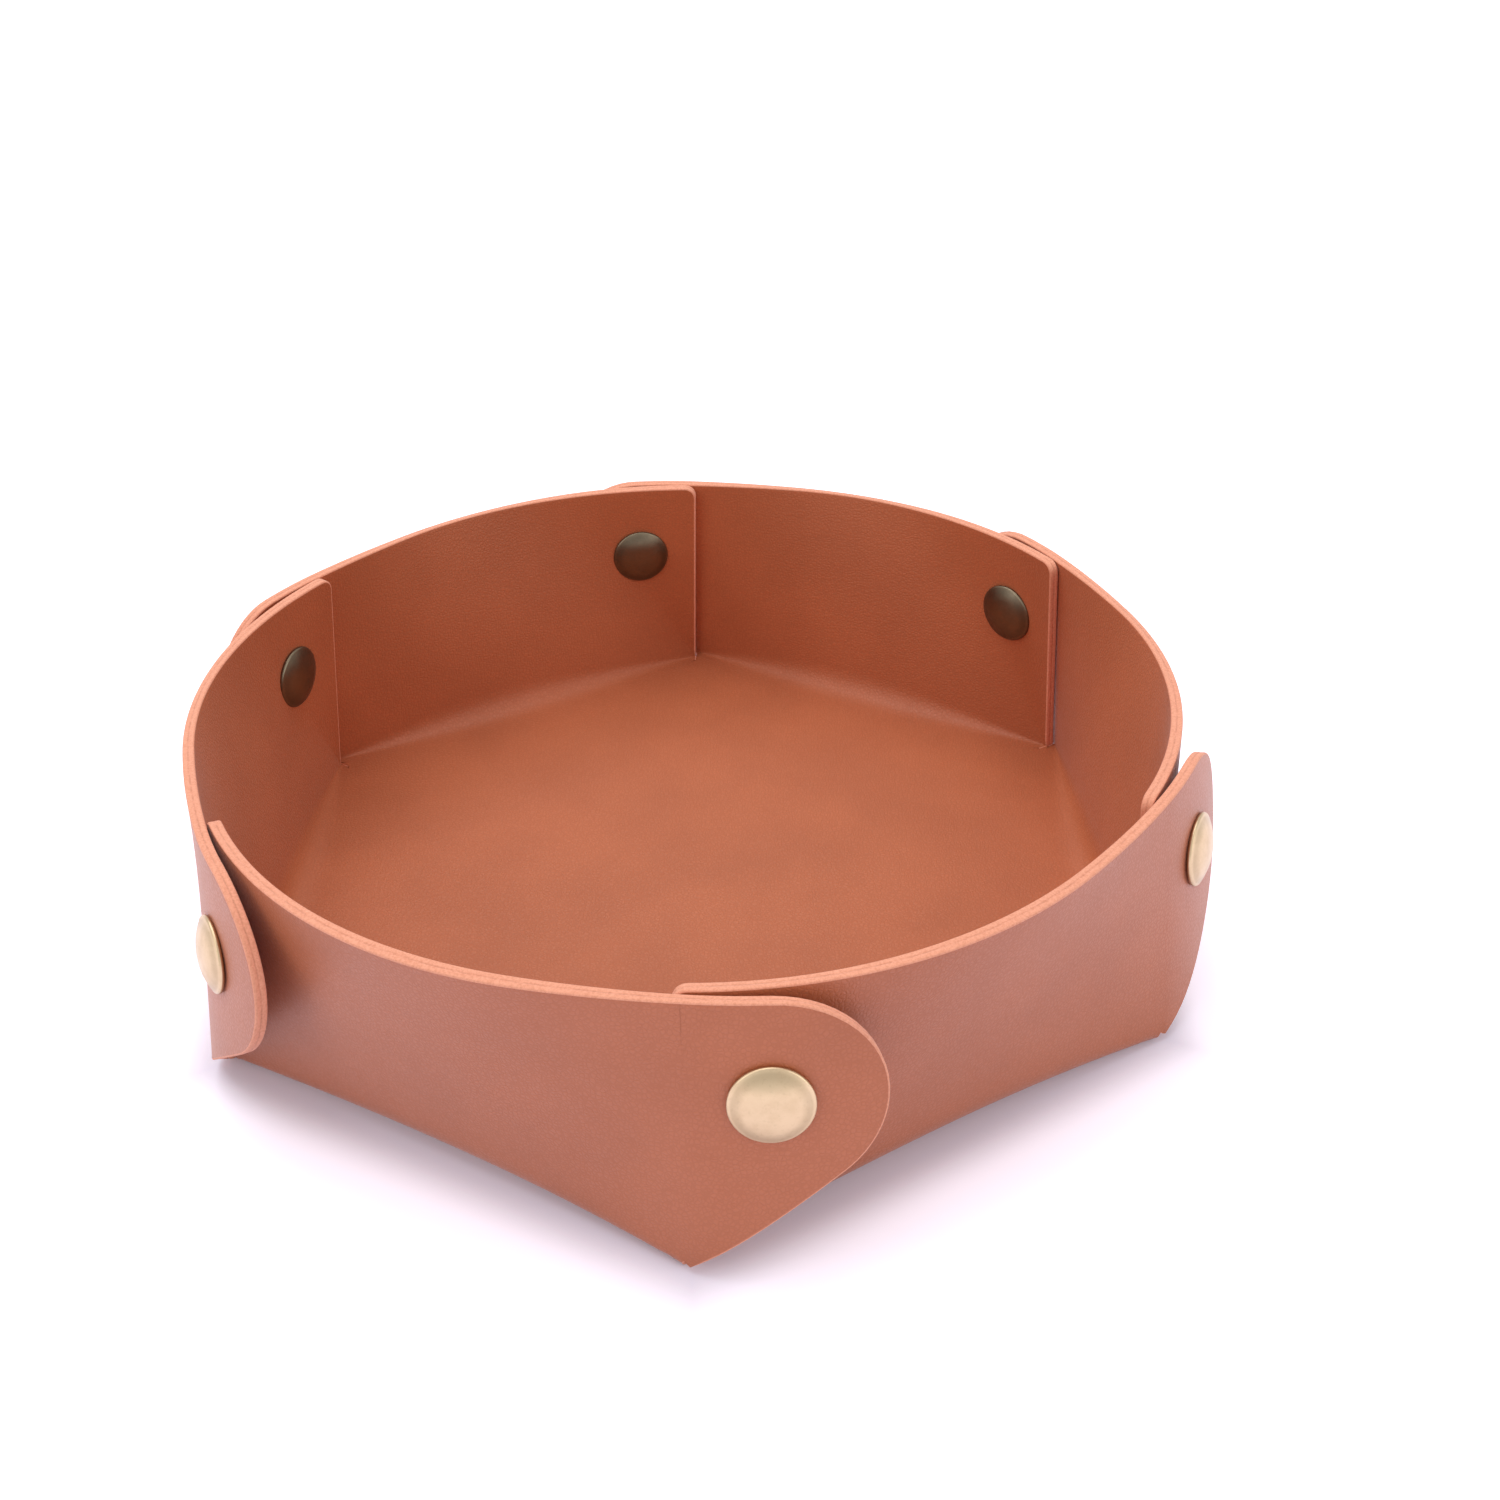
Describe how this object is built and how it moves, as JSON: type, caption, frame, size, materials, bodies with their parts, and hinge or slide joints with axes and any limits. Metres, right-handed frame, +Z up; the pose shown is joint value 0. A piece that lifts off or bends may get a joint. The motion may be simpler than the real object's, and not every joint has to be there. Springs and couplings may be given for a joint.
{
  "type": "folding leather tray",
  "caption": "Hexagonal leather tray that folds up from one flat sheet, each corner lapped over its neighbour and held by a press snap with domed caps, for keys, coins and other small things.",
  "frame": {"origin": "middle of the underside of the floor, on the table", "axes": "+Z up out of the tray; -Y towards the base corner that faces the viewer; the sides lap counter-clockwise seen from above"},
  "size_m": [0.1846, 0.1862, 0.0477],
  "materials": {
    "leather": "fine pebbled, soft sheen",
    "cap_metal": "antique satin",
    "snap_metal": "dark satin",
    "spring_wire": "bright drawn wire"
  },
  "bodies": {
    "base": {"floor_panel": "leather"},
    "side_1": {"wall_1": "leather", "stud_1": "snap_metal", "back_cap_1": "cap_metal"},
    "flap_1": {"tab_1": "leather", "cap_1": "cap_metal", "socket_1": "snap_metal", "spring_ring_1": "spring_wire"},
    "side_2": {"wall_2": "leather", "stud_2": "snap_metal", "back_cap_2": "cap_metal"},
    "flap_2": {"tab_2": "leather", "cap_2": "cap_metal", "socket_2": "snap_metal", "spring_ring_2": "spring_wire"},
    "side_3": {"wall_3": "leather", "stud_3": "snap_metal", "back_cap_3": "cap_metal"},
    "flap_3": {"tab_3": "leather", "cap_3": "cap_metal", "socket_3": "snap_metal", "spring_ring_3": "spring_wire"},
    "side_4": {"wall_4": "leather", "stud_4": "snap_metal", "back_cap_4": "cap_metal"},
    "flap_4": {"tab_4": "leather", "cap_4": "cap_metal", "socket_4": "snap_metal", "spring_ring_4": "spring_wire"},
    "side_5": {"wall_5": "leather", "stud_5": "snap_metal", "back_cap_5": "cap_metal"},
    "flap_5": {"tab_5": "leather", "cap_5": "cap_metal", "socket_5": "snap_metal", "spring_ring_5": "spring_wire"},
    "side_6": {"wall_6": "leather", "stud_6": "snap_metal", "back_cap_6": "cap_metal"},
    "flap_6": {"tab_6": "leather", "cap_6": "cap_metal", "socket_6": "snap_metal", "spring_ring_6": "spring_wire"}
  },
  "joints": [
    {"name": "fold_1", "type": "hinge", "parent": "base", "child": "side_1", "pos_m": [0.0404, -0.06997, 0], "axis": [0.866, 0.5, 0], "range_deg": [0, 77]},
    {"name": "tab_bend_1", "type": "hinge", "parent": "side_1", "child": "flap_1", "pos_m": [0.08086, -0.04653, 0.00111], "axis": [0.0926, -0.0535, -0.9943], "range_deg": [0, 46.2]},
    {"name": "fold_2", "type": "hinge", "parent": "base", "child": "side_2", "pos_m": [0.0808, 0, 0], "axis": [0, 1, 0], "range_deg": [0, 77]},
    {"name": "tab_bend_2", "type": "hinge", "parent": "side_2", "child": "flap_2", "pos_m": [0.08073, 0.04676, 0.00111], "axis": [0.0926, 0.0535, -0.9943], "range_deg": [0, 46.2]},
    {"name": "fold_3", "type": "hinge", "parent": "base", "child": "side_3", "pos_m": [0.0404, 0.06997, 0], "axis": [-0.866, 0.5, 0], "range_deg": [0, 77]},
    {"name": "tab_bend_3", "type": "hinge", "parent": "side_3", "child": "flap_3", "pos_m": [-0.00013, 0.09329, 0.00111], "axis": [0, 0.1069, -0.9943], "range_deg": [0, 46.2]},
    {"name": "fold_4", "type": "hinge", "parent": "base", "child": "side_4", "pos_m": [-0.0404, 0.06997, 0], "axis": [-0.866, -0.5, 0], "range_deg": [0, 77]},
    {"name": "tab_bend_4", "type": "hinge", "parent": "side_4", "child": "flap_4", "pos_m": [-0.08086, 0.04653, 0.00111], "axis": [-0.0926, 0.0535, -0.9943], "range_deg": [0, 46.2]},
    {"name": "fold_5", "type": "hinge", "parent": "base", "child": "side_5", "pos_m": [-0.0808, 0, 0], "axis": [0, -1, 0], "range_deg": [0, 77]},
    {"name": "tab_bend_5", "type": "hinge", "parent": "side_5", "child": "flap_5", "pos_m": [-0.08073, -0.04676, 0.00111], "axis": [-0.0926, -0.0535, -0.9943], "range_deg": [0, 46.2]},
    {"name": "fold_6", "type": "hinge", "parent": "base", "child": "side_6", "pos_m": [-0.0404, -0.06997, 0], "axis": [0.866, -0.5, 0], "range_deg": [0, 77]},
    {"name": "tab_bend_6", "type": "hinge", "parent": "side_6", "child": "flap_6", "pos_m": [0.00013, -0.09329, 0.00111], "axis": [0, -0.1069, -0.9943], "range_deg": [0, 46.2]}
  ],
  "couplings": [
    {"joint": "tab_bend_1", "follows": "fold_1", "ratio": 0.6},
    {"joint": "fold_2", "follows": "fold_1", "ratio": 1},
    {"joint": "tab_bend_2", "follows": "fold_1", "ratio": 0.6},
    {"joint": "fold_3", "follows": "fold_1", "ratio": 1},
    {"joint": "tab_bend_3", "follows": "fold_1", "ratio": 0.6},
    {"joint": "fold_4", "follows": "fold_1", "ratio": 1},
    {"joint": "tab_bend_4", "follows": "fold_1", "ratio": 0.6},
    {"joint": "fold_5", "follows": "fold_1", "ratio": 1},
    {"joint": "tab_bend_5", "follows": "fold_1", "ratio": 0.6},
    {"joint": "fold_6", "follows": "fold_1", "ratio": 1},
    {"joint": "tab_bend_6", "follows": "fold_1", "ratio": 0.6}
  ]
}
